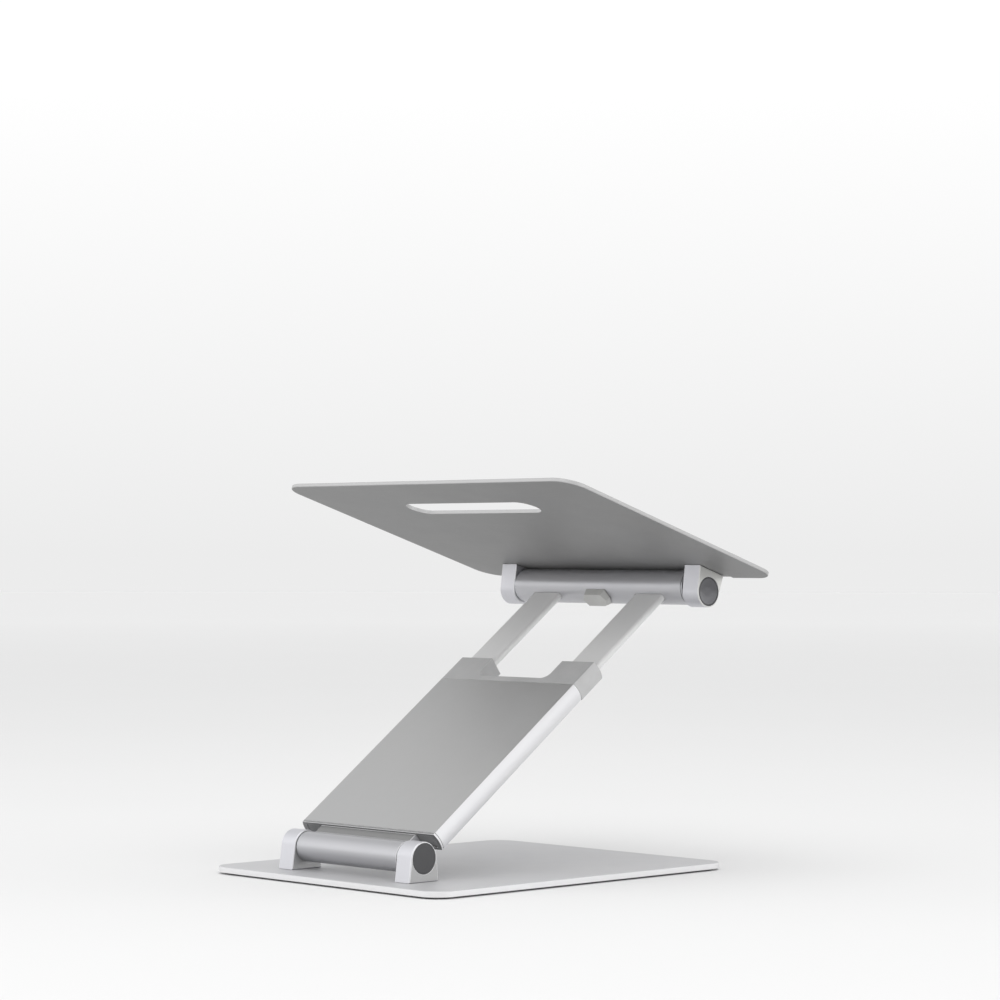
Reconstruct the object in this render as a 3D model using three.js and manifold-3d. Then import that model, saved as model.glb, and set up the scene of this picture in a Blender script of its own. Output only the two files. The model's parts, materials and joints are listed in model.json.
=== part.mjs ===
// Folding laptop stand: base plate, rear friction hinge, telescoping arm, upper friction hinge
// and a tilting tray. Millimetres, +Z up, the user's side is -Y and the user's right is +X.
// The origin is the centre of the footprint, on the surface the stand rests on.
import * as THREE from 'three';
import { mergeVertices } from 'three/addons/utils/BufferGeometryUtils.js';
import { ConvexGeometry } from 'three/addons/geometries/ConvexGeometry.js';
import Module from 'manifold-3d';

const wasm = await Module();
wasm.setup();

// ---------------------------------------------------------------- driving dimensions
// Pose at rest
const armAngle = THREE.MathUtils.degToRad(35.9);   // arm above the base
const trayAngle = THREE.MathUtils.degToRad(17.3);  // tray above the horizontal

// Fits
const seat = 0.2;            // between pieces that rest on each other
const roundFit = 0.15;       // radial, between turned pieces fixed in each other
const runningFit = 0.1;      // radial, between a hinge shaft and its bush
const slideFit = 0.15;       // between a bar and its liner
const slotFit = 0.35;        // round a bar where it enters the upper tube

// Base
const baseWidth = 216;
const baseDepth = 261;
const baseThickness = 3.9;
const baseCorner = 15;
const matThickness = 1;
const matInset = 4;

// Hinge pieces used at all four hinge ends
const shaftRadius = 4;
const shaftHeadRim = 0.5;        // from a shaft's head to the edge of its recess
const shaftHeadThickness = 1.6;
const capRim = 1;                // bracket left round a cap
const capThickness = 1.5;
const capInset = 0.2;
const flangeGap = 0.4;
const flangeThickness = 1;
const bushLength = 5;
const washerThickness = 1.6;
const washerGap = 1.3;           // round a washer, inside the narrower tube
const springThickness = 2.4;
const springInset = 0.3;         // a spring is this much smaller than a washer
const springPlate = 0.8;
const nutThickness = 3.6;
const nutAcrossFlats = 10;
const shaftTail = 0.8;
const bracketRadius = 10.5;
const bracketEdge = 0.5;

// Lower hinge
const lowerAxisY = 98.1;
const lowerTubeClearance = 4.8;  // under the lower tube
const lowerTubeRadius = 9.7;
const lowerTubeWall = 2.1;
const lowerBracketInner = 48.5;
const lowerBracketWidth = 13.6;
const lowerFootRear = 12.6;
const lowerFootFront = 12.1;

// Arm
const armRise = 1;               // the arm's mid-plane above the lower axis
const armWidth = 127.8;          // across the bowed sides
const armBow = 1.7;              // of each side
const armThickness = 12.4;
const armWall = 1.5;             // top and bottom
const armSideWall = 2.5;
const armInnerCorner = 0.6;
const armStart = 14.5;           // from the lower axis, along the arm
const shellLength = 149.8;
const rootInset = 4;             // from a bracket to the root block's neck
const rootFlange = 1.4;
const rootGap = 0.3;             // shadow line between the flange and the shell
const rootRim = 2;               // above and below a window in the flange
const rootSideRim = 3;
const windowBow = 1.2;
const tongueLength = 17;
const plugDepth = 11;
const plugRecess = 0.6;

// Collar
const collarLength = 23.5;
const collarExtra = 0.6;         // thicker than the shell, below
const notchDepth = 18.5;
const notchCorner = 6;
const earWall = 2.2;
const spigotLength = 16;
const linerWall = 0.5;
const linerInset = 1;

// Bars
const barWidth = 25.8;
const barThickness = 4.7;
const barEdge = 1.9;
const barShellGap = 0.4;
const barReach = 90.3;           // from the collar to the upper axis
const barInsertion = 73.5;       // inside the arm
const barPastAxis = 7;
const crossheadLength = 12;
const crossheadOverlap = 8;

// Upper hinge
const upperTubeRadius = 11.5;
const upperTubeWall = 2.4;
const upperShoulder = 2.85;      // between a bar and the end of the hinge shaft
const upperBracketWidth = 14.3;
const upperCapDrop = 2.5;
const upperFootRear = 13;
const upperFootFront = 11.1;
const bumperProud = 4;
const bumperDraft = 2.4;
const bumperHalfWidth = 10.8;
const bumperHalfEdge = 7.4;
const bumperHalfHeight = 4.7;
const bumperRise = -0.4;

// Tray
const trayWidth = 272;
const trayRear = 186.7;
const trayFront = 16.8;
const trayClearance = 0.4;       // between the upper tube and the tray
const trayThickness = 2.4;
const trayCorner = 16;
const slotHalfLength = 59.5;
const slotHalfWidth = 10.7;
const slotFromRear = 50.2;
const hookWidth = 42;
const hookHeight = 12;
const hookSpacing = 150;
const hookBend = 3.6;
const hookRelief = 1.2;
const hookPadThickness = 1.4;
const hookPadInset = 3;
const padThickness = 1.2;
const padCorner = 6;
const padSideInset = 8;
const padRearInset = 9;
const padWidth = 58;

// Countersunk screws
const screwShank = 2;
const screwHead = 3.9;
const screwHeadHeight = 1.7;
const screwLength = 7.2;
const screwClearance = 0.25;
const screwKey = 1.25;
const screwKeyDepth = 1;
const bracketScrewPitch = 13;
const armScrewSpacing = 60;
const armScrewLength = 5;

// Facets round a full turn, and on each rounded corner
const fine = 48;
const coarse = 20;
const screwFacets = 12;
const cornerFacets = 4;
const broadFacets = 10;          // on a wide corner or a bowed side

// ---------------------------------------------------------------- worked-out places
const plateBottom = matThickness;
const plateTop = plateBottom + baseThickness;
const lowerAxisHeight = lowerTubeRadius + lowerTubeClearance;
const trayDrop = upperTubeRadius + trayClearance;
const capRadius = bracketRadius - capRim;
const shaftHeadRadius = capRadius - upperCapDrop - shaftHeadRim;
const washerRadius = lowerTubeRadius - lowerTubeWall - washerGap;
const springRadius = washerRadius - springInset;
const lowerAxis = new THREE.Vector3(0, lowerAxisY, plateTop + lowerAxisHeight);
const shellStart = armStart + rootFlange + rootGap;
const shellEnd = shellStart + shellLength;
const collarEnd = shellEnd + collarLength;
const upperAxisReach = collarEnd + barReach;
const armHalf = armThickness / 2;
const shellInnerHalfWidth = armWidth / 2 - armSideWall;
const shellInnerHalfHeight = armHalf - armWall;
const barOuter = shellInnerHalfWidth - barShellGap;
const barInner = barOuter - barWidth;
const barStart = collarEnd - barInsertion;
const notchHalf = barInner - earWall;
const bushEnd = flangeGap + flangeThickness + bushLength;
const washerStart = bushEnd + seat;
const springStart = washerStart + washerThickness + seat;
const nutStart = springStart + springThickness + seat;
const hingeReach = nutStart + nutThickness + shaftTail;
const upperBracketInner = barOuter + upperShoulder + hingeReach;
const recessDepth = capInset + capThickness + shaftHeadThickness + 2 * seat;
const trayTop = trayDrop + trayThickness;
const nutCorner = nutAcrossFlats / Math.sqrt(3);
const rootHalfWidth = lowerBracketInner - rootInset;

// ---------------------------------------------------------------- materials
const finishes = {
  aluminium: { color: 0xc4c5c7, roughness: 0.42, metalness: 0.9 },
  brightAluminium: { color: 0xd2d3d6, roughness: 0.35, metalness: 0.9 },
  collarPlastic: { color: 0xa9aaab, roughness: 0.55, metalness: 0.1 },
  darkPlastic: { color: 0x4b4b4d, roughness: 0.6, metalness: 0 },
  greyRubber: { color: 0x9b9b99, roughness: 0.75, metalness: 0 },
  blackSilicone: { color: 0x232324, roughness: 0.8, metalness: 0 },
  steel: { color: 0x8f9296, roughness: 0.35, metalness: 1 },
  nylon: { color: 0xdedcd4, roughness: 0.6, metalness: 0 },
};

// ---------------------------------------------------------------- solids
function signedVolume(positions, indices) {
  let sum = 0;
  const a = new THREE.Vector3();
  const b = new THREE.Vector3();
  const c = new THREE.Vector3();
  for (let i = 0; i < indices.length; i += 3) {
    a.fromArray(positions, 3 * indices[i]);
    b.fromArray(positions, 3 * indices[i + 1]);
    c.fromArray(positions, 3 * indices[i + 2]);
    sum += a.dot(b.cross(c));
  }
  return sum / 6;
}

// One closed, outward-facing solid from any closed geometry.
function solid(geometry) {
  const bare = geometry.clone();
  bare.deleteAttribute('normal');
  bare.deleteAttribute('uv');
  const merged = mergeVertices(bare, 1e-4);
  const positions = merged.attributes.position.array;
  const kept = [];
  for (let i = 0; i < merged.index.count; i += 3) {
    const [a, b, c] = merged.index.array.slice(i, i + 3);
    if (a !== b && b !== c && c !== a) kept.push(a, b, c);
  }
  if (signedVolume(positions, kept) < 0) {
    for (let i = 0; i < kept.length; i += 3) {
      [kept[i], kept[i + 1]] = [kept[i + 1], kept[i]];
    }
  }
  const vertProperties = new Float32Array(positions);
  const triVerts = new Uint32Array(kept);
  return new wasm.Manifold(new wasm.Mesh({ numProp: 3, vertProperties, triVerts }));
}

function join(...pieces) {
  return pieces.reduce((whole, piece) => whole.add(piece));
}

function cut(whole, ...tools) {
  return tools.reduce((rest, tool) => rest.subtract(tool), whole);
}

function geometryOf(piece) {
  const mesh = piece.getMesh();
  const geometry = new THREE.BufferGeometry();
  geometry.setAttribute('position', new THREE.BufferAttribute(new Float32Array(mesh.vertProperties), 3));
  geometry.setIndex(new THREE.BufferAttribute(new Uint32Array(mesh.triVerts), 1));
  geometry.computeVertexNormals();
  return geometry;
}

// An outline of [first, second] points or ready-made Shape, extruded along X, Y' or Z.
function outline(points) {
  return new THREE.Shape(points.map(([u, v]) => new THREE.Vector2(u, v)));
}

function extruded(shape, length, edge, facets = cornerFacets) {
  return new THREE.ExtrudeGeometry(shape, {
    depth: length - 2 * edge,
    bevelEnabled: edge > 0,
    bevelThickness: edge,
    bevelSize: edge,
    bevelOffset: -edge,
    bevelSegments: 1,
    curveSegments: facets,
  }).translate(0, 0, edge);
}

// The shape lies in the plane of Y and Z.
function alongX(shape, from, to, edge = 0, facets = cornerFacets) {
  const turn = new THREE.Matrix4().set(0, 0, 1, 0, 1, 0, 0, 0, 0, 1, 0, 0, 0, 0, 0, 1);
  const bar = extruded(shape, Math.abs(to - from), edge, facets).applyMatrix4(turn);
  return solid(bar.translate(Math.min(from, to), 0, 0));
}

// The shape lies in the plane of X and Z; distances run from the lower axis up the arm, along -Y.
function alongArm(shape, from, to, facets = cornerFacets) {
  return solid(extruded(shape, to - from, 0, facets).rotateX(Math.PI / 2).translate(0, -from, 0));
}

function alongZ(shape, from, to, edge = 0) {
  return solid(extruded(shape, to - from, edge, broadFacets).translate(0, 0, from));
}

function box(x, y, z) {
  const geometry = new THREE.BoxGeometry(x[1] - x[0], y[1] - y[0], z[1] - z[0]);
  return solid(geometry.translate((x[0] + x[1]) / 2, (y[0] + y[1]) / 2, (z[0] + z[1]) / 2));
}

// A profile of [distance along the axis, radius] points turned round X; side mirrors it.
function turnedX(profile, side, segments) {
  const points = profile.map(([along, radius]) => new THREE.Vector2(radius, side * along));
  return solid(new THREE.LatheGeometry(points, segments).rotateZ(-Math.PI / 2));
}

function ringX(from, to, inner, outer, side, segments) {
  return turnedX([[from, inner], [to, inner], [to, outer], [from, outer], [from, inner]], side, segments);
}

function discX(from, to, radius, side, segments) {
  return turnedX([[from, 0], [from, radius], [to, radius], [to, 0]], side, segments);
}

function roundedRectangle(x0, x1, y0, y1, radius) {
  const shape = new THREE.Shape();
  shape.moveTo(x0 + radius, y0);
  shape.lineTo(x1 - radius, y0);
  shape.absarc(x1 - radius, y0 + radius, radius, -Math.PI / 2, 0, false);
  shape.lineTo(x1, y1 - radius);
  shape.absarc(x1 - radius, y1 - radius, radius, 0, Math.PI / 2, false);
  shape.lineTo(x0 + radius, y1);
  shape.absarc(x0 + radius, y1 - radius, radius, Math.PI / 2, Math.PI, false);
  shape.lineTo(x0, y0 + radius);
  shape.absarc(x0 + radius, y0 + radius, radius, Math.PI, 1.5 * Math.PI, false);
  return shape;
}

// A countersunk screw with a hexagon key hole: the head's face is at z = 0, the shank goes down.
function countersunkScrew(length) {
  const points = [
    [0, 0],
    [screwHead, 0],
    [screwShank, -screwHeadHeight],
    [screwShank, -length],
    [0, -length],
  ].map(([radius, height]) => new THREE.Vector2(radius, height));
  const body = solid(new THREE.LatheGeometry(points, screwFacets).rotateX(Math.PI / 2));
  const key = new THREE.CylinderGeometry(screwKey, screwKey, 2 * screwKeyDepth, 6).rotateX(Math.PI / 2);
  return cut(body, solid(key));
}

// The hole such a screw needs: a clear cone and bore, open above the head's face.
function screwHole(length) {
  const points = [
    [0, screwClearance],
    [screwHead + screwClearance, screwClearance],
    [screwHead + screwClearance, 0],
    [screwShank + screwClearance, -screwHeadHeight],
    [screwShank + screwClearance, -length - screwClearance],
    [0, -length - screwClearance],
  ].map(([radius, height]) => new THREE.Vector2(radius, height));
  return solid(new THREE.LatheGeometry(points, screwFacets).rotateX(Math.PI / 2));
}

// ---------------------------------------------------------------- scene graph
const stand = new THREE.Group();
const lowerHinge = new THREE.Group();
lowerHinge.position.copy(lowerAxis);
const arm = new THREE.Group();
arm.position.copy(lowerAxis);
arm.rotation.x = -armAngle;
const upperHinge = new THREE.Group();
upperHinge.position.set(0, -upperAxisReach, armRise);
arm.add(upperHinge);
const tray = new THREE.Group();
tray.position.set(0, -upperAxisReach, armRise).applyEuler(arm.rotation).add(lowerAxis);
tray.rotation.x = trayAngle;
stand.add(lowerHinge, arm, tray);

function place(group, name, piece, finish) {
  const mesh = new THREE.Mesh(geometryOf(piece), new THREE.MeshStandardMaterial(finishes[finish]));
  mesh.name = name;
  group.add(mesh);
}

const sides = [['right', 1], ['left', -1]];

// ---------------------------------------------------------------- base
const lowerBracketMiddle = lowerBracketInner + lowerBracketWidth / 2;
const lowerScrewRows = [lowerAxisY - bracketScrewPitch / 2, lowerAxisY + bracketScrewPitch / 2];

function makeBase() {
  const halfWidth = baseWidth / 2;
  const halfDepth = baseDepth / 2;
  const plateShape = roundedRectangle(-halfWidth, halfWidth, -halfDepth, halfDepth, baseCorner);
  let plate = alongZ(plateShape, plateBottom, plateTop, 0.4);
  for (const [, side] of sides) {
    for (const row of lowerScrewRows) {
      const hole = screwHole(screwLength).rotate([180, 0, 0]);
      plate = cut(plate, hole.translate([side * lowerBracketMiddle, row, plateBottom + seat]));
    }
  }
  place(stand, 'base_plate', plate, 'aluminium');

  const matX = halfWidth - matInset;
  const matY = halfDepth - matInset;
  const matShape = roundedRectangle(-matX, matX, -matY, matY, baseCorner - matInset);
  place(stand, 'base_mat', alongZ(matShape, 0, matThickness), 'blackSilicone');
}

// ---------------------------------------------------------------- hinge pieces
// A bracket's outline: a straight foot whose two sides run on to a round nose as tangents.
// foot is the height of the foot above the nose's centre, and is negative below it.
function bracketShape(rear, front, foot, centre) {
  const tangent = (edge, turn) => {
    const bearing = Math.atan2(foot, edge);
    const spread = Math.acos(bracketRadius / Math.hypot(foot, edge));
    return bearing + turn * spread;
  };
  const above = Math.sign(foot);
  const rearAngle = tangent(rear, -above);
  const frontAngle = tangent(-front, above);
  const shape = new THREE.Shape();
  shape.moveTo(-front, foot + centre);
  shape.lineTo(rear, foot + centre);
  shape.absarc(0, centre, bracketRadius, rearAngle, frontAngle, above > 0);
  shape.lineTo(-front, foot + centre);
  return shape;
}

function makeBracket(group, name, side, shape, inner, width, capCentre, screwHoles) {
  const outer = inner + width;
  const body = alongX(shape, side * inner, side * outer, bracketEdge, coarse);
  const bore = discX(inner - seat, outer + seat, shaftRadius + roundFit, side, coarse);
  const recess = discX(outer - recessDepth, outer + seat, capRadius + roundFit, side, fine);
  place(group, name, cut(body, bore, recess.translate([0, 0, capCentre]), ...screwHoles), 'brightAluminium');
}

// The pieces of one friction hinge end. keyed is the group that the bracket and shaft belong to,
// turning the group of the tube. inner is the bracket's inner face.
function makeHingeEnd(keyed, turning, level, label, side, inner, width, tubeRadius, tubeWall, capCentre) {
  const outer = inner + width;
  const faceOf = (distance) => inner - distance;
  const capFace = outer - capInset;
  const headFace = capFace - capThickness - seat;
  const tubeEnd = faceOf(flangeGap + flangeThickness);
  const tubeBore = tubeRadius - tubeWall;

  const cap = turnedX([
    [capFace - capThickness, 0],
    [capFace - capThickness, capRadius],
    [capFace - 0.3, capRadius],
    [capFace, capRadius - 0.3],
    [capFace, 0],
  ], side, fine);
  place(keyed, `${level}_cap_${label}`, cap.translate([0, 0, capCentre]), 'darkPlastic');

  const shaft = turnedX([
    [faceOf(hingeReach), 0],
    [faceOf(hingeReach), shaftRadius],
    [headFace - shaftHeadThickness, shaftRadius],
    [headFace - shaftHeadThickness, shaftHeadRadius],
    [headFace, shaftHeadRadius],
    [headFace, 0],
  ], side, coarse);
  place(keyed, `${level}_shaft_${label}`, shaft, 'steel');

  const bush = turnedX([
    [faceOf(bushEnd), shaftRadius + runningFit],
    [faceOf(flangeGap), shaftRadius + runningFit],
    [faceOf(flangeGap), tubeRadius - roundFit],
    [tubeEnd, tubeRadius - roundFit],
    [tubeEnd, tubeBore - roundFit],
    [faceOf(bushEnd), tubeBore - roundFit],
    [faceOf(bushEnd), shaftRadius + runningFit],
  ], side, coarse);
  place(turning, `${level}_bush_${label}`, bush, 'steel');

  const bore = shaftRadius + roundFit;
  const washer = ringX(
    faceOf(washerStart + washerThickness), faceOf(washerStart), bore, washerRadius, side, coarse);
  place(keyed, `${level}_friction_washer_${label}`, washer, 'nylon');

  const spring = turnedX([
    [faceOf(springStart), bore],
    [faceOf(springStart + springThickness / 2 - springPlate / 2), springRadius],
    [faceOf(springStart + springThickness / 2 + springPlate / 2), springRadius],
    [faceOf(springStart + springThickness), bore],
    [faceOf(springStart), bore],
  ], side, coarse);
  place(keyed, `${level}_disc_spring_${label}`, spring, 'steel');

  const hexagon = new THREE.Shape();
  for (let corner = 0; corner <= 6; corner += 1) {
    const angle = corner * Math.PI / 3;
    const point = [nutCorner * Math.cos(angle), nutCorner * Math.sin(angle)];
    if (corner === 0) hexagon.moveTo(...point);
    else hexagon.lineTo(...point);
  }
  const nutBody = alongX(hexagon, side * faceOf(nutStart + nutThickness), side * faceOf(nutStart));
  const thread = discX(faceOf(hingeReach), inner, bore, side, coarse);
  place(keyed, `${level}_nut_${label}`, cut(nutBody, thread), 'steel');
}

function tubeX(radius, wall, inner) {
  const end = inner - flangeGap - flangeThickness - seat;
  return cut(discX(-end, end, radius, 1, fine), discX(-end - seat, end + seat, radius - wall, 1, fine));
}

// ---------------------------------------------------------------- lower hinge
function makeLowerHinge() {
  const foot = seat - lowerAxisHeight;
  for (const [label, side] of sides) {
    const screwSeat = plateBottom + seat - lowerAxis.z;
    const holes = lowerScrewRows.map((row) => screwHole(screwLength)
      .rotate([180, 0, 0])
      .translate([side * lowerBracketMiddle, row - lowerAxisY, screwSeat]));
    makeBracket(lowerHinge, `lower_bracket_${label}`, side,
      bracketShape(lowerFootRear, lowerFootFront, foot, 0),
      lowerBracketInner, lowerBracketWidth, 0, holes);
    lowerScrewRows.forEach((row, index) => {
      const screw = countersunkScrew(screwLength).rotate([180, 0, 0]);
      const place3 = [side * lowerBracketMiddle, row - lowerAxisY, screwSeat];
      place(lowerHinge, `base_screw_${label}_${index + 1}`, screw.translate(place3), 'steel');
    });
    makeHingeEnd(lowerHinge, arm, 'lower', label, side,
      lowerBracketInner, lowerBracketWidth, lowerTubeRadius, lowerTubeWall, 0);
  }
  place(arm, 'lower_tube', tubeX(lowerTubeRadius, lowerTubeWall, lowerBracketInner), 'aluminium');
}

// ---------------------------------------------------------------- arm
// The arm's section: flat above and below, with sides that bow out by bow to halfWidth.
function armSection(halfWidth, halfHeight, bow, extra = 0) {
  const bottom = armRise - halfHeight - extra;
  const top = armRise + halfHeight;
  const middle = (bottom + top) / 2;
  const chord = (top - bottom) / 2;
  const radius = (chord * chord + bow * bow) / (2 * bow);
  const spread = Math.asin(chord / radius);
  const centre = halfWidth - radius;
  const shape = new THREE.Shape();
  shape.moveTo(bow - halfWidth, bottom);
  shape.lineTo(halfWidth - bow, bottom);
  shape.absarc(centre, middle, radius, -spread, spread, false);
  shape.lineTo(bow - halfWidth, top);
  shape.absarc(-centre, middle, radius, Math.PI - spread, Math.PI + spread, false);
  return shape;
}

const armScrewReach = shellStart + tongueLength / 2;
const armScrewFace = armRise - armHalf;

function armScrewAt(side, piece) {
  return piece.rotate([180, 0, 0]).translate([side * armScrewSpacing / 2, -armScrewReach, armScrewFace]);
}

// One end window of the root flange, made smaller all round by shrink.
function endWindow(side, shrink, from, to) {
  const section = armSection(
    armWidth / 2 - rootSideRim - shrink, armHalf - rootRim - shrink, windowBow);
  const reach = [side * (rootHalfWidth + shrink), side * armWidth].sort((a, b) => a - b);
  const half = box(reach, [-to - seat, -from + seat], [armRise - armHalf, armRise + armHalf]);
  return alongArm(section, from, to, broadFacets).intersect(half);
}

function makeArm() {
  const outerShape = armSection(armWidth / 2, armHalf, armBow);
  const hollow = roundedRectangle(
    -shellInnerHalfWidth, shellInnerHalfWidth,
    armRise - shellInnerHalfHeight, armRise + shellInnerHalfHeight, armInnerCorner);
  const screwHoles = sides.map(([, side]) => armScrewAt(side, screwHole(armScrewLength)));
  const shell = cut(
    alongArm(outerShape, shellStart, shellEnd, broadFacets),
    alongArm(hollow, shellStart - seat, shellEnd + seat),
    ...screwHoles);
  place(arm, 'arm_shell', shell, 'aluminium');

  // The root block: a flange over the shell's end, a tongue inside it, and a neck to the tube.
  const flange = alongArm(outerShape, armStart, armStart + rootFlange, broadFacets);
  const tongueHalf = shellInnerHalfHeight - seat;
  const tongue = box(
    [-rootHalfWidth, rootHalfWidth],
    [-shellStart - tongueLength, 0],
    [armRise - tongueHalf, armRise + tongueHalf]);
  const tubeSpace = discX(
    -lowerBracketInner, lowerBracketInner, lowerTubeRadius + seat, 1, fine);
  const windows = sides.map(([, side]) => endWindow(side, 0, armStart - seat, shellStart));
  const block = cut(join(flange, tongue), tubeSpace, ...windows, ...screwHoles);
  place(arm, 'arm_root_block', block, 'aluminium');

  for (const [label, side] of sides) {
    place(arm, `arm_screw_${label}`, armScrewAt(side, countersunkScrew(armScrewLength)), 'steel');
    const plug = endWindow(side, seat, armStart + plugRecess, armStart + plugDepth);
    place(arm, `arm_end_plug_${label}`, plug, 'darkPlastic');
  }
}

// ---------------------------------------------------------------- collar and liners
function barSection(side, grow) {
  const xs = [side * (barInner - grow), side * (barOuter + grow)];
  const half = barThickness / 2 + grow;
  return roundedRectangle(
    Math.min(...xs), Math.max(...xs), armRise - half, armRise + half, barEdge + grow);
}

function makeCollar() {
  const start = shellEnd + seat;
  const outerShape = armSection(armWidth / 2, armHalf, armBow, collarExtra);
  let collar = alongArm(outerShape, start, collarEnd, broadFacets);
  const notchShape = roundedRectangle(
    -notchHalf, notchHalf, -collarEnd - notchDepth, -collarEnd + notchDepth, notchCorner);
  const notch = alongZ(notchShape, armRise - armThickness, armRise + armThickness);
  const spigotHalf = shellInnerHalfHeight - seat;
  const spigot = box(
    [-notchHalf, notchHalf],
    [-start - seat, -start + spigotLength],
    [armRise - spigotHalf, armRise + spigotHalf]);
  const windowGrow = 2 * slideFit + linerWall;
  collar = cut(join(collar, spigot), notch);
  for (const [label, side] of sides) {
    collar = cut(collar, alongArm(barSection(side, windowGrow), start - spigotLength, collarEnd + seat));
    const sleeve = cut(
      alongArm(barSection(side, slideFit + linerWall), start + seat, collarEnd - linerInset),
      alongArm(barSection(side, slideFit), start, collarEnd));
    place(arm, `slide_liner_${label}`, sleeve, 'nylon');
  }
  place(arm, 'arm_collar', collar, 'collarPlastic');
}

// ---------------------------------------------------------------- bars
function makeBars() {
  const barEnd = upperAxisReach + barPastAxis;
  for (const [label, side] of sides) {
    place(arm, `bar_${label}`, alongArm(barSection(side, 0), barStart, barEnd), 'brightAluminium');
  }
  const crossheadEnd = barStart + crossheadOverlap;
  const crossheadHalf = shellInnerHalfHeight - 2 * seat;
  let crosshead = box(
    [-barOuter, barOuter],
    [-crossheadEnd, -crossheadEnd + crossheadLength],
    [armRise - crossheadHalf, armRise + crossheadHalf]);
  for (const [, side] of sides) {
    const socket = box(
      [barInner - seat, barOuter + 2 * seat].map((x) => side * x).sort((a, b) => a - b),
      [-crossheadEnd - seat, -barStart + seat],
      [armRise - barThickness / 2 - seat, armRise + barThickness / 2 + seat]);
    crosshead = cut(crosshead, socket);
  }
  place(arm, 'bar_crosshead', crosshead, 'darkPlastic');
}

// ---------------------------------------------------------------- upper hinge
function makeUpperTube() {
  let tube = tubeX(upperTubeRadius, upperTubeWall, upperBracketInner);
  for (const [, side] of sides) {
    const entry = alongArm(barSection(side, slotFit), -seat, upperTubeRadius + seat);
    tube = cut(tube, entry.rotate([0, 0, 180]).translate([0, 0, -armRise]));
  }
  place(upperHinge, 'upper_tube', tube, 'aluminium');

  // The bumper stands on the tube between the bars and faces down the arm.
  const face = upperTubeRadius + bumperProud;
  const hexagonAt = (grow, distance) => [
    [bumperHalfWidth + grow, 0],
    [bumperHalfEdge + grow, bumperHalfHeight + grow],
    [-bumperHalfEdge - grow, bumperHalfHeight + grow],
    [-bumperHalfWidth - grow, 0],
    [-bumperHalfEdge - grow, -bumperHalfHeight - grow],
    [bumperHalfEdge + grow, -bumperHalfHeight - grow],
  ].map(([x, z]) => new THREE.Vector3(x, distance, z + bumperRise));
  const root = upperTubeRadius * 0.55;
  const hull = new ConvexGeometry([...hexagonAt(0, face), ...hexagonAt(bumperDraft, root)]);
  const tubeSpace = discX(-armWidth, armWidth, upperTubeRadius + seat, 1, fine);
  place(upperHinge, 'tube_bumper', cut(solid(hull), tubeSpace), 'greyRubber');
}

const upperBracketMiddle = upperBracketInner + upperBracketWidth / 2;
const upperScrewRows = [1, -1].map((row) => (upperFootRear - upperFootFront + row * bracketScrewPitch) / 2);

function makeUpperHinge() {
  const foot = trayDrop - seat + upperCapDrop;
  for (const [label, side] of sides) {
    const holes = upperScrewRows.map((row) => screwHole(screwLength)
      .translate([side * upperBracketMiddle, row, trayTop - seat]));
    makeBracket(tray, `upper_bracket_${label}`, side,
      bracketShape(upperFootRear, upperFootFront, foot, -upperCapDrop),
      upperBracketInner, upperBracketWidth, -upperCapDrop, holes);
    upperScrewRows.forEach((row, index) => {
      const screw = countersunkScrew(screwLength)
        .translate([side * upperBracketMiddle, row, trayTop - seat]);
      place(tray, `tray_screw_${label}_${index + 1}`, screw, 'steel');
    });
    makeHingeEnd(tray, upperHinge, 'upper', label, side,
      upperBracketInner, upperBracketWidth, upperTubeRadius, upperTubeWall, -upperCapDrop);
  }
}

// ---------------------------------------------------------------- tray
// The sheet's section through a hook: along the tray, round the bend and up.
function hookShape() {
  const front = -trayFront;
  const inside = hookBend - trayThickness;
  const tip = trayTop + hookHeight;
  const shape = new THREE.Shape();
  shape.moveTo(front + 2 * hookBend + hookRelief, trayDrop);
  shape.lineTo(front + 2 * hookBend + hookRelief, trayTop);
  shape.lineTo(front + hookBend, trayTop);
  shape.absarc(front + hookBend, trayTop + inside, inside, 1.5 * Math.PI, Math.PI, true);
  shape.lineTo(front + trayThickness, tip);
  shape.lineTo(front, tip);
  shape.lineTo(front, trayTop + inside);
  shape.absarc(front + hookBend, trayTop + inside, hookBend, Math.PI, 1.5 * Math.PI, false);
  return shape;
}

function hookEdges(side, grow) {
  return [side * hookSpacing / 2 - hookWidth / 2 - grow, side * hookSpacing / 2 + hookWidth / 2 + grow];
}

function makeTray() {
  const sheetShape = roundedRectangle(-trayWidth / 2, trayWidth / 2, -trayFront, trayRear, trayCorner);
  let sheet = alongZ(sheetShape, trayDrop, trayTop, 0.3);
  const slotMiddle = trayRear - slotFromRear;
  const slotShape = roundedRectangle(
    -slotHalfLength, slotHalfLength, slotMiddle - slotHalfWidth, slotMiddle + slotHalfWidth,
    slotHalfWidth - 0.05);
  sheet = cut(sheet, alongZ(slotShape, trayDrop - seat, trayTop + seat));
  for (const [, side] of sides) {
    const relief = box(
      hookEdges(side, hookRelief),
      [-trayFront - seat, -trayFront + 2 * hookBend],
      [trayDrop - seat, trayTop + seat]);
    sheet = join(cut(sheet, relief), alongX(hookShape(), ...hookEdges(side, 0)));
    for (const row of upperScrewRows) {
      const hole = screwHole(screwLength).translate([side * upperBracketMiddle, row, trayTop - seat]);
      sheet = cut(sheet, hole);
    }
  }
  place(tray, 'tray_plate', sheet, 'aluminium');
}

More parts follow.
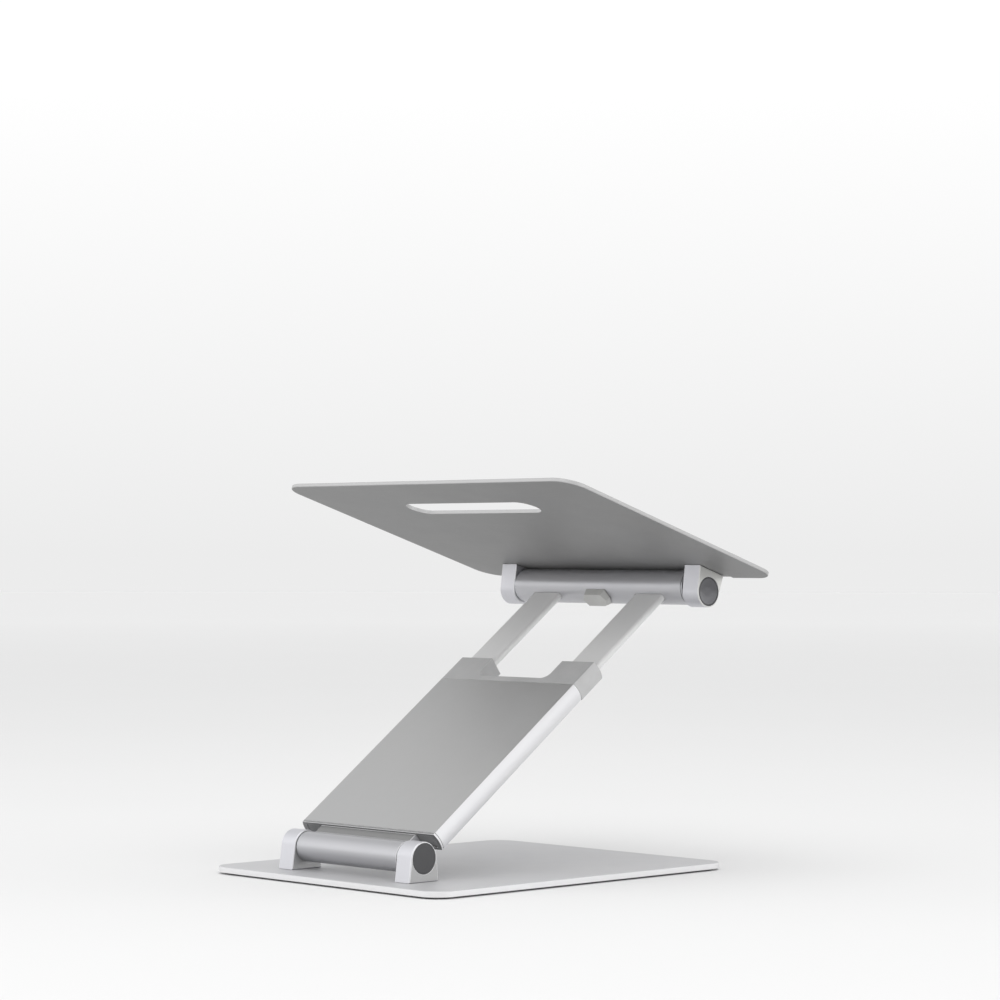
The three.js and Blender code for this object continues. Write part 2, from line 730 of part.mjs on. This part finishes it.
// A silicone sleeve over each hook: inner face, top and the upper part of the outer face.
function makeHookPads() {
  const tip = trayTop + hookHeight;
  const inside = -trayFront + trayThickness + seat;
  const outside = -trayFront - seat;
  const low = trayTop + hookBend;
  for (const [label, side] of sides) {
    const sleeve = outline([
      [inside, low],
      [inside + hookPadThickness, low],
      [inside + hookPadThickness, tip + seat + hookPadThickness],
      [outside - hookPadThickness, tip + seat + hookPadThickness],
      [outside - hookPadThickness, low + hookPadInset],
      [outside, low + hookPadInset],
      [outside, tip + seat],
      [inside, tip + seat],
    ]);
    place(tray, `hook_pad_${label}`, alongX(sleeve, ...hookEdges(side, -0.5)), 'blackSilicone');
  }
}

function makeTrayPads() {
  const front = -trayFront + trayThickness + 2 * hookPadThickness + 2 * seat;
  const outer = trayWidth / 2 - padSideInset;
  for (const [label, side] of sides) {
    const xs = [side * (outer - padWidth), side * outer];
    const shape = roundedRectangle(
      Math.min(...xs), Math.max(...xs), front, trayRear - padRearInset, padCorner);
    place(tray, `tray_pad_${label}`, alongZ(shape, trayTop + seat, trayTop + seat + padThickness),
      'blackSilicone');
  }
}

makeBase();
makeLowerHinge();
makeArm();
makeCollar();
makeBars();
makeUpperTube();
makeUpperHinge();
makeTray();
makeHookPads();
makeTrayPads();

export default stand;
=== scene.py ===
import json
import math

import bmesh
import bpy
from mathutils import Matrix, Vector


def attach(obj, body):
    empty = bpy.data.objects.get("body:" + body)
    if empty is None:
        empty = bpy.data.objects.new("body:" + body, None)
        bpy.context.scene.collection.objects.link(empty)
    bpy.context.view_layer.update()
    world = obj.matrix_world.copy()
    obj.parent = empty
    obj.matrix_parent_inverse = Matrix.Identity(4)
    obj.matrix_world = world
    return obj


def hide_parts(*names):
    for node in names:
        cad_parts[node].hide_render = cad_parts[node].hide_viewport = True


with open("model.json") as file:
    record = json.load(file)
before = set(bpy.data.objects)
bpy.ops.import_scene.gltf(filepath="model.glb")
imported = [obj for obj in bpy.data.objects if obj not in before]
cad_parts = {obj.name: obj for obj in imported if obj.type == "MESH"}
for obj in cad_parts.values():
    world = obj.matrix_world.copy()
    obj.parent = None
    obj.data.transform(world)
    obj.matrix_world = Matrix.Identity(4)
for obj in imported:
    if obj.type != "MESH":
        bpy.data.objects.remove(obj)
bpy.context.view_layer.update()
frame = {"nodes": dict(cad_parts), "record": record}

MM = 0.001
SIDES = ("right", "left")
LEVELS = ("lower", "upper")
SCREW_NUMBERS = (1, 2)


# ------------------------------------------------------------------ camera
CAMERA_PLACE = Vector((-1.42885, 1.35604, 0.20761))
CAMERA_AZIMUTH = 225.95
CAMERA_ELEVATION = -0.99
CAMERA_ROLL = 0.07
CAMERA_LENS = 108.72
CAMERA_SENSOR = 36
CAMERA_CLIP_START = 0.05


def make_camera():
    azimuth = math.radians(CAMERA_AZIMUTH)
    elevation = math.radians(CAMERA_ELEVATION)
    back = Vector((
        math.sin(azimuth) * math.cos(elevation),
        -math.cos(azimuth) * math.cos(elevation),
        math.sin(elevation),
    ))
    camera = bpy.data.objects.new("camera", bpy.data.cameras.new("camera"))
    bpy.context.scene.collection.objects.link(camera)
    level = back.to_track_quat("Z", "Y").to_matrix().to_4x4()
    roll = Matrix.Rotation(math.radians(CAMERA_ROLL), 4, "Z")
    camera.matrix_world = Matrix.Translation(CAMERA_PLACE) @ level @ roll
    camera.data.lens = CAMERA_LENS
    camera.data.sensor_width = CAMERA_SENSOR
    camera.data.clip_start = CAMERA_CLIP_START
    bpy.context.scene.camera = camera


make_camera()


# ------------------------------------------------------------------ node helpers
NOISE_LOW = 0.3          # most of a noise texture's values lie between these two
NOISE_HIGH = 0.7


def new_material(name):
    material = bpy.data.materials.new(name)
    material.use_nodes = True
    tree = material.node_tree
    shader = tree.nodes["Principled BSDF"]
    return material, tree, shader


def add_node(tree, kind, **values):
    node = tree.nodes.new(kind)
    for key, value in values.items():
        if key in node.inputs:
            node.inputs[key].default_value = value
        else:
            setattr(node, key, value)
    return node


def object_coordinates(tree, stretch=(1, 1, 1)):
    coordinates = tree.nodes.new("ShaderNodeTexCoord")
    mapping = tree.nodes.new("ShaderNodeMapping")
    mapping.inputs["Scale"].default_value = stretch
    tree.links.new(coordinates.outputs["Object"], mapping.inputs["Vector"])
    return mapping.outputs["Vector"]


def noise(tree, vector, scale, detail=2.0, roughness=0.5):
    node = add_node(tree, "ShaderNodeTexNoise", Scale=scale, Detail=detail, Roughness=roughness)
    tree.links.new(vector, node.inputs["Vector"])
    return node.outputs["Fac"]


def ranged(tree, value, low, high, from_low=0.0, from_high=1.0):
    node = add_node(tree, "ShaderNodeMapRange")
    node.inputs["From Min"].default_value = from_low
    node.inputs["From Max"].default_value = from_high
    node.inputs["To Min"].default_value = low
    node.inputs["To Max"].default_value = high
    tree.links.new(value, node.inputs["Value"])
    return node.outputs["Result"]


def spread(tree, value, low, high):
    """A noise value spread over low to high."""
    return ranged(tree, value, low, high, NOISE_LOW, NOISE_HIGH)


def added(tree, first, second):
    node = tree.nodes.new("ShaderNodeMath")
    node.operation = "ADD"
    for index, value in enumerate((first, second)):
        if isinstance(value, (int, float)):
            node.inputs[index].default_value = value
        else:
            tree.links.new(value, node.inputs[index])
    return node.outputs["Value"]


def tinted(tree, value, dark, light):
    ramp = tree.nodes.new("ShaderNodeValToRGB")
    ramp.color_ramp.elements[0].position = NOISE_LOW
    ramp.color_ramp.elements[0].color = (*dark, 1)
    ramp.color_ramp.elements[1].position = NOISE_HIGH
    ramp.color_ramp.elements[1].color = (*light, 1)
    tree.links.new(value, ramp.inputs["Fac"])
    return ramp.outputs["Color"]


def bump(tree, shader, height, distance):
    node = add_node(tree, "ShaderNodeBump", Strength=1.0, Distance=distance)
    tree.links.new(height, node.inputs["Height"])
    tree.links.new(node.outputs["Normal"], shader.inputs["Normal"])


# ------------------------------------------------------------------ materials
BLAST_SCALE = 2600       # noise scales, in features per metre
CLOUD_SCALE = 9
SMUDGE_SCALE = 38
PATCH_SCALE = 55
STAIN_SCALE = 140
SHEET_LAY = (45, 2400, 2400)
TUBE_LAY = (3600, 60, 60)
CAP_LAY = (60, 60, 2400)
TURNED_RINGS = (9000, 30, 30)
MICRON = 1e-6


def anodised(name, tone, roughness, grain, lay=None, grazing=1.0, metal=0.72, blue=1.0):
    """Silver anodised aluminium: bead-blasted grain, soft handling marks and, with lay, faint brushing."""
    material, tree, shader = new_material(name)
    shader.inputs["Metallic"].default_value = metal
    shader.inputs["Specular Tint"].default_value = (grazing, grazing, grazing, 1)
    plain = object_coordinates(tree)
    blast = noise(tree, plain, BLAST_SCALE, 3.0, 0.6)
    cloud = noise(tree, plain, CLOUD_SCALE, 4.0, 0.55)
    smudge = noise(tree, plain, SMUDGE_SCALE, 5.0, 0.6)
    warm = (tone * 0.99, tone * 0.985, tone * 0.98 * blue)
    cool = (tone, tone * 1.005, tone * 1.01 * blue)
    mixed = added(tree, ranged(tree, cloud, 0, 0.75), ranged(tree, blast, 0, 0.25))
    tree.links.new(tinted(tree, mixed, warm, cool), shader.inputs["Base Color"])
    rough = added(
        tree,
        spread(tree, smudge, roughness - 0.035, roughness + 0.035),
        spread(tree, blast, -0.02, 0.02))
    height = blast
    if lay:
        strokes = noise(tree, object_coordinates(tree, lay), 1.0, 2.0, 0.7)
        height = added(tree, ranged(tree, blast, 0, 0.5), ranged(tree, strokes, 0, 0.8))
        rough = added(tree, rough, spread(tree, strokes, -0.03, 0.03))
    tree.links.new(rough, shader.inputs["Roughness"])
    bump(tree, shader, height, grain * MICRON)
    return material


def moulded(name, colour, roughness, grain_scale, grain):
    """Moulded plastic or silicone: a fine spark-eroded texture, with soft dull and shiny patches."""
    material, tree, shader = new_material(name)
    plain = object_coordinates(tree)
    texture = noise(tree, plain, grain_scale, 4.0, 0.65)
    patches = noise(tree, plain, PATCH_SCALE, 4.0, 0.6)
    dark = tuple(c * 0.93 for c in colour)
    light = tuple(c * 1.06 for c in colour)
    tree.links.new(tinted(tree, patches, dark, light), shader.inputs["Base Color"])
    rough = added(
        tree,
        spread(tree, patches, roughness - 0.05, roughness + 0.05),
        spread(tree, texture, -0.04, 0.04))
    tree.links.new(rough, shader.inputs["Roughness"])
    bump(tree, shader, texture, grain * MICRON)
    return material


def turned_metal(name, colour, roughness, grain):
    """Machined metal with fine rings round the hinge axis, which runs along X."""
    material, tree, shader = new_material(name)
    shader.inputs["Metallic"].default_value = 1.0
    rings = noise(tree, object_coordinates(tree, TURNED_RINGS), 1.0, 2.0, 0.6)
    stain = noise(tree, object_coordinates(tree), STAIN_SCALE, 4.0, 0.6)
    dark = tuple(c * 0.86 for c in colour)
    tree.links.new(tinted(tree, stain, dark, colour), shader.inputs["Base Color"])
    rough = spread(tree, stain, roughness - 0.06, roughness + 0.1)
    tree.links.new(rough, shader.inputs["Roughness"])
    bump(tree, shader, rings, grain * MICRON)
    return material


# broad faces: name, tone, roughness, grain in micrometres
SATIN = anodised("satin_aluminium", 0.45, 0.46, 3.5, metal=0.6)
PLATE = anodised("plate_aluminium", 0.56, 0.55, 3.5, SHEET_LAY, metal=0.45, blue=1.02)
# the tray's aluminium, darkened and with weaker grazing reflection to stand in for the shade under the
# tray: painted shade
SHEET = anodised("sheet_aluminium_painted_shade", 0.325, 0.50, 3.5, SHEET_LAY, grazing=0.6, metal=0.6)
# a lighter copy of the aluminium for side faces that catch the light: painted light
SIDE = anodised("side_aluminium_painted_light", 0.74, 0.48, 3.5, metal=0.45, blue=1.02)
# a darker copy of the aluminium for the root block, which sits under the arm: painted shade
ROOT = anodised("cast_aluminium_painted_shade", 0.28, 0.50, 5.0)
LOWER_TUBE = anodised("lower_tube_aluminium", 0.47, 0.34, 2.5, TUBE_LAY, metal=0.85, blue=1.04)
UPPER_TUBE = anodised("upper_tube_aluminium", 0.50, 0.38, 2.5, TUBE_LAY, metal=0.7, blue=1.04)
BRIGHT = anodised("bright_aluminium", 0.61, 0.42, 3.0, blue=1.05)
# a lighter copy for the upper brackets' outward faces: painted light
BRACKET_SIDE = anodised("bracket_side_aluminium", 0.65, 0.42, 3.0, blue=0.97)
BAR = anodised("bar_aluminium", 0.76, 0.50, 3.0, metal=0.1)

# lighter copies for rounded edges and side faces: machined edges, partly their own polish and partly a
# painted highlight
EDGE = anodised("polished_edge_and_painted_highlight", 0.80, 0.32, 1.5, metal=0.6, blue=1.01)
# the tray's side faces and rounded edges: a lighter copy of its aluminium, a painted highlight
RIM = anodised("tray_edge_painted_highlight", 0.46, 0.36, 1.5, metal=0.6)

# caps, mouldings and the hinge's inner parts: name, colour, roughness, grain scale, grain in micrometres
CAP_SHEEN = anodised("dark_cap_sheen", 0.118, 0.24, 2.0, CAP_LAY, metal=0.75, blue=1.06)
COLLAR = moulded("collar_grey", (0.42, 0.42, 0.422), 0.46, 2400, 6)
# a lighter copy of the collar's grey for its outward sides and rounded edges: painted highlight
COLLAR_SIDE = moulded("collar_side_grey_painted_highlight", (0.52, 0.52, 0.522), 0.36, 2400, 6)
BUMPER = moulded("bumper_grey", (0.50, 0.50, 0.487), 0.5, 1800, 6)
DARK = moulded("dark_plastic", (0.060, 0.060, 0.063), 0.5, 2200, 10)
PLUG = moulded("plug_grey", (0.24, 0.24, 0.242), 0.5, 2200, 10)
SILICONE = moulded("black_silicone", (0.022, 0.022, 0.023), 0.62, 1500, 18)
NYLON = moulded("natural_nylon", (0.74, 0.72, 0.66), 0.45, 1600, 8)
STEEL = turned_metal("machined_steel", (0.52, 0.53, 0.55), 0.3, 4)


# ------------------------------------------------------------------ pieces from the frame's nodes
MERGE_DISTANCE = 1e-7
FLAT_ANGLE = math.radians(0.6)       # facets that lie this close to one plane are joined
SHARP_ANGLE = math.radians(32)       # edges sharper than this are rounded
ROUNDING_SEGMENTS = 3
FLAT_FACE_WEIGHT = 60
MAIN_SLOT, EDGE_SLOT, OTHER_SLOT = range(3)

DISH_RIM = 0.7                       # flat ring round an upper cap's dish, in millimetres
DISH_RINGS = ((1.3, 0.48), (1.4, 0.33), (1.5, 0.21), (1.6, 0.09))    # each ring's width and fall
CAP_RIM_AREA = 5e-6                  # larger than one face of the ring, smaller than the dish's floor

TRAY_ANGLE = math.radians(17.3)
TRAY_NORMAL = Vector((0, -math.sin(TRAY_ANGLE), math.cos(TRAY_ANGLE)))


def body_of(node):
    for body, nodes in frame["record"]["behaviour"]["bodies"].items():
        if node in nodes:
            return body
    raise KeyError(node)


def hollow_out(cage):
    """Turns the outer round face of a cap into a shallow dish inside a flat rim."""
    outer = max(cage.faces, key=lambda face: abs(face.calc_center_median().x) + face.calc_area())
    for width, fall in ((DISH_RIM, 0), *DISH_RINGS):
        bmesh.ops.inset_region(
            cage, faces=[outer], thickness=width * MM, depth=-fall * MM, use_even_offset=True)


def joined_mesh(node, dished):
    """A copy of a node's mesh with its flat facets joined."""
    mesh = frame["nodes"][node].data.copy()
    cage = bmesh.new()
    cage.from_mesh(mesh)
    bmesh.ops.remove_doubles(cage, verts=cage.verts, dist=MERGE_DISTANCE)
    bmesh.ops.dissolve_limit(cage, angle_limit=FLAT_ANGLE, verts=cage.verts[:], edges=cage.edges[:])
    bmesh.ops.recalc_face_normals(cage, faces=cage.faces)
    if dished:
        hollow_out(cage)
    cage.to_mesh(mesh)
    cage.free()
    mesh.shade_smooth()
    return mesh


def round_edges(piece, width):
    """Rounds the piece's sharp edges, and keeps its broad faces flat in their shading."""
    rounding = piece.modifiers.new("rounding", "BEVEL")
    rounding.width = width * MM
    rounding.segments = ROUNDING_SEGMENTS
    rounding.limit_method = "ANGLE"
    rounding.angle_limit = SHARP_ANGLE
    rounding.use_clamp_overlap = True
    rounding.material = EDGE_SLOT
    shading = piece.modifiers.new("shading", "WEIGHTED_NORMAL")
    shading.weight = FLAT_FACE_WEIGHT
    graph = bpy.context.evaluated_depsgraph_get()
    mesh = bpy.data.meshes.new_from_object(piece.evaluated_get(graph), depsgraph=graph)
    piece.modifiers.clear()
    piece.data = mesh


def refined(node, material, edge, edge_material=None, other=None, dished=False):
    """Replaces a node by a copy whose sharp edges are rounded by edge millimetres.

    other is a further material, and a test that picks its faces."""
    mesh = joined_mesh(node, dished)
    other_material, picked = other or (material, None)
    mesh.materials.clear()
    for finish in (material, edge_material or material, other_material):
        mesh.materials.append(finish)
    for polygon in mesh.polygons:
        polygon.material_index = OTHER_SLOT if picked and picked(polygon) else MAIN_SLOT
    piece = bpy.data.objects.new(f"{node}_finished", mesh)
    bpy.context.scene.collection.objects.link(piece)
    round_edges(piece, edge)
    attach(piece, body_of(node))
    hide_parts(node)


def dress(node, material):
    """Gives a carried-over node a better material."""
    mesh = frame["nodes"][node].data
    mesh.materials.clear()
    mesh.materials.append(material)


# ------------------------------------------------------------------ tests that pick faces
def upright(face):
    return abs(face.normal.z) < 0.6


def across_tray(face):
    return abs(face.normal.dot(TRAY_NORMAL)) < 0.8


def sideways(face):
    return abs(face.normal.x) > 0.6


def flat_side(face):
    return abs(face.normal.x) > 0.9


def outward(face):
    """A side face that looks away from the middle of the stand."""
    return sideways(face) and face.normal.x * face.center.x > 0


def cap_rim(face):
    """The flat ring round a cap's dish."""
    return abs(face.normal.x) > 0.999 and face.area < CAP_RIM_AREA


# ------------------------------------------------------------------ the stand's parts
def finish_base():
    # the plate's side faces get the lighter edge aluminium: painted highlight
    refined("base_plate", PLATE, 0.4, EDGE, (EDGE, upright))
    refined("base_mat", SILICONE, 0.2)
    for side in SIDES:
        # the flat side faces get the darker satin aluminium: painted shade
        refined(f"lower_bracket_{side}", BRIGHT, 0.3, EDGE, (SATIN, flat_side))
        for number in SCREW_NUMBERS:
            dress(f"base_screw_{side}_{number}", STEEL)


def finish_arm():
    refined("lower_tube", LOWER_TUBE, 0.25, EDGE)
    # the root block's darker aluminium is a painted shade; the side faces of the block and the shell get
    # the lighter side aluminium, a painted light
    refined("arm_root_block", ROOT, 0.3, EDGE, (SIDE, sideways))
    refined("arm_shell", SATIN, 0.4, EDGE, (SIDE, sideways))
    # the collar's outward sides and rounded edges get the lighter grey: painted highlight
    refined("arm_collar", COLLAR, 0.4, COLLAR_SIDE, (COLLAR_SIDE, outward))
    for side in SIDES:
        refined(f"arm_end_plug_{side}", PLUG, 0.3)
        dress(f"arm_screw_{side}", STEEL)
        dress(f"slide_liner_{side}", NYLON)


def finish_carriage():
    refined("upper_tube", UPPER_TUBE, 0.25, EDGE)
    refined("tube_bumper", BUMPER, 0.6)
    dress("bar_crosshead", DARK)
    for side in SIDES:
        refined(f"bar_{side}", BAR, 0.2)


def finish_tray():
    # the tray's side faces and rounded edges get the lighter rim copy, a painted highlight, on the
    # darkened sheet, a painted shade
    refined("tray_plate", SHEET, 0.35, RIM, (RIM, across_tray))
    for side in SIDES:
        # the outward faces get the lighter bracket side aluminium: painted light
        refined(f"upper_bracket_{side}", BRIGHT, 0.3, EDGE, (BRACKET_SIDE, outward))
        refined(f"tray_pad_{side}", SILICONE, 0.35)
        refined(f"hook_pad_{side}", SILICONE, 0.4)
        for number in SCREW_NUMBERS:
            dress(f"tray_screw_{side}_{number}", STEEL)


def finish_hinge_ends():
    for side in SIDES:
        refined(f"lower_cap_{side}", DARK, 0.25)
        refined(f"upper_cap_{side}", CAP_SHEEN, 0.25, DARK, (DARK, cap_rim), dished=True)
        for level in LEVELS:
            refined(f"{level}_bush_{side}", STEEL, 0.15)
            dress(f"{level}_friction_washer_{side}", NYLON)
            for kind in ("shaft", "nut", "disc_spring"):
                dress(f"{level}_{kind}_{side}", STEEL)


finish_base()
finish_arm()
finish_carriage()
finish_tray()
finish_hinge_ends()


# ------------------------------------------------------------------ stage
FLOOR_RADIUS = 14
FLOOR_NEAR = 0.80                    # the floor's tone near the stand and far from it
FLOOR_FAR = 0.93
NEAR, FAR = 0.6, 7
HORIZON = 0.84                       # the studio's brightness at three heights
WALL = 1.08
CEILING = 0.62
WALL_RISE = 0.22                     # how high a direction looks at the wall, and at the ceiling
CEILING_RISE = 0.95
GLOWS = (                            # direction, how wide it spreads, how bright it is
    ((-0.72, -0.69, 0.05), 0.5, 0.60),
    ((0.72, 0.66, 0.15), 0.5, 0.45),
)
OVERHEAD_PLACE = (-0.5, 0.7, 2.0)
OVERHEAD_SIZE = (2.4, 2.4)
OVERHEAD_POWER = 20
STAND_MIDDLE = (0, 0, 0.12)


def make_floor():
    bpy.ops.mesh.primitive_circle_add(vertices=96, radius=FLOOR_RADIUS, fill_type="NGON")
    floor = bpy.context.object
    floor.name = "floor"
    material, tree, shader = new_material("floor")
    distance = tree.nodes.new("ShaderNodeVectorMath")
    distance.operation = "LENGTH"
    tree.links.new(object_coordinates(tree), distance.inputs[0])
    near_and_far = ranged(tree, distance.outputs["Value"], FLOOR_NEAR, FLOOR_FAR, NEAR, FAR)
    speckle = ranged(tree, noise(tree, object_coordinates(tree), 3, 2.0), -0.005, 0.005)
    tree.links.new(added(tree, near_and_far, speckle), shader.inputs["Base Color"])
    shader.inputs["Roughness"].default_value = 0.8
    shader.inputs["Specular IOR Level"].default_value = 0.1
    floor.data.materials.append(material)


def toward(tree, direction, place, spread_width, strength):
    """A soft glow in the studio's walls round one direction."""
    dot = tree.nodes.new("ShaderNodeVectorMath")
    dot.operation = "DOT_PRODUCT"
    tree.links.new(direction, dot.inputs[0])
    dot.inputs[1].default_value = Vector(place).normalized()
    node = tree.nodes.new("ShaderNodeMapRange")
    node.interpolation_type = "SMOOTHSTEP"
    node.inputs["From Min"].default_value = 1 - spread_width
    node.inputs["From Max"].default_value = 1.0
    node.inputs["To Max"].default_value = strength
    tree.links.new(dot.outputs["Value"], node.inputs["Value"])
    return node.outputs["Result"]


def make_world():
    world = bpy.data.worlds.new("studio")
    bpy.context.scene.world = world
    world.use_nodes = True
    tree = world.node_tree
    background = tree.nodes["Background"]
    coordinates = tree.nodes.new("ShaderNodeTexCoord")
    direction = coordinates.outputs["Generated"]
    separate = tree.nodes.new("ShaderNodeSeparateXYZ")
    tree.links.new(direction, separate.inputs["Vector"])
    rise = ranged(tree, separate.outputs["Z"], HORIZON - WALL, 0, 0, WALL_RISE)
    fall = ranged(tree, separate.outputs["Z"], WALL, CEILING, WALL_RISE, CEILING_RISE)
    level = added(tree, rise, fall)
    for place, spread_width, strength in GLOWS:
        level = added(tree, level, toward(tree, direction, place, spread_width, strength))
    tree.links.new(level, background.inputs["Color"])
    background.inputs["Strength"].default_value = 1.0


def area_light(name, place, target, size, power):
    light = bpy.data.lights.new(name, "AREA")
    light.shape = "RECTANGLE"
    light.size, light.size_y = size
    light.energy = power
    lamp = bpy.data.objects.new(name, light)
    bpy.context.scene.collection.objects.link(lamp)
    lamp.location = place
    lamp.rotation_euler = (Vector(target) - Vector(place)).to_track_quat("-Z", "Y").to_euler()


make_floor()
make_world()
area_light("overhead", OVERHEAD_PLACE, STAND_MIDDLE, OVERHEAD_SIZE, OVERHEAD_POWER)
bpy.context.scene.view_settings.view_transform = "Standard"
